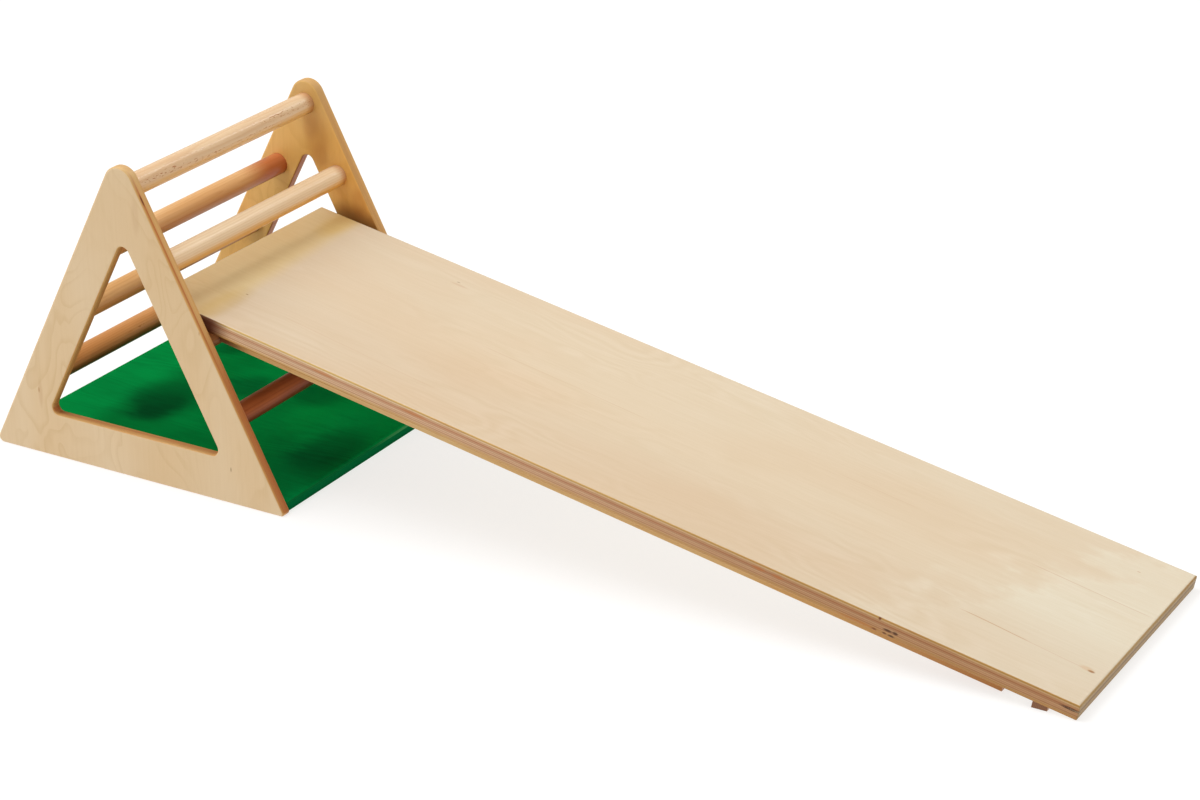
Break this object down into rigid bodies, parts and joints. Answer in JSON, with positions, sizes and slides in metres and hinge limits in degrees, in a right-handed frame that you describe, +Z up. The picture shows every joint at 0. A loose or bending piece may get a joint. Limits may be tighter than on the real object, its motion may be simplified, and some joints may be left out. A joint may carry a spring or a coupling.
{
  "type": "toddler slide",
  "caption": "Plywood climbing triangle with round rungs and a long slide board that rests on a front rung, slopes to the floor, tilts and lifts off.",
  "frame": {"origin": "on the floor, at the centre of the base panel's underside, midway between the side panels", "axes": "+X along the object towards the slide board's foot, +Y from the right side panel to the left one, +Z up"},
  "size_m": [1.7722, 0.486, 0.4947],
  "materials": {
    "birch_panel": "clear satin lacquer on birch plywood",
    "birch_deck": "clear satin lacquer on birch plywood, plies showing on the edges",
    "green_panel": "green stain under clear lacquer, grain showing",
    "beech_rung": "clear satin lacquer on turned beech",
    "light_strip": "clear satin lacquer on solid light wood",
    "cleat_wood": "clear satin lacquer on solid wood",
    "dowel_pin": "bare beech",
    "screw_steel": "zinc plated"
  },
  "bodies": {
    "frame": {"side_panel_right": "birch_panel", "side_panel_left": "birch_panel", "top_rung": "beech_rung", "front_rung_upper": "beech_rung", "front_rung_lower": "beech_rung", "rear_rung_upper": "beech_rung", "rear_rung_middle": "beech_rung", "rear_rung_lower": "beech_rung", "base_panel": "green_panel", "base_dowels": "dowel_pin"},
    "rest_rung": {"front_rung_middle": "beech_rung"},
    "slide_board": {"slide_deck": "birch_deck", "deck_batten_right": "light_strip", "deck_batten_left": "light_strip", "hook_cleat": "light_strip", "foot_cleat": "cleat_wood", "batten_screws_right": "screw_steel", "batten_screws_left": "screw_steel", "hook_cleat_screws": "screw_steel", "foot_cleat_screws": "screw_steel"}
  },
  "joints": [
    {"name": "slide_tilt", "type": "hinge", "parent": "frame", "child": "rest_rung", "pos_m": [0.11345, 0, 0.2381], "axis": [0, -1, 0], "range_deg": [0, 45]},
    {"name": "slide_lift_off", "type": "slide", "parent": "rest_rung", "child": "slide_board", "axis": [0.182, 0, 0.9833], "range_m": [0, 0.035]}
  ]
}
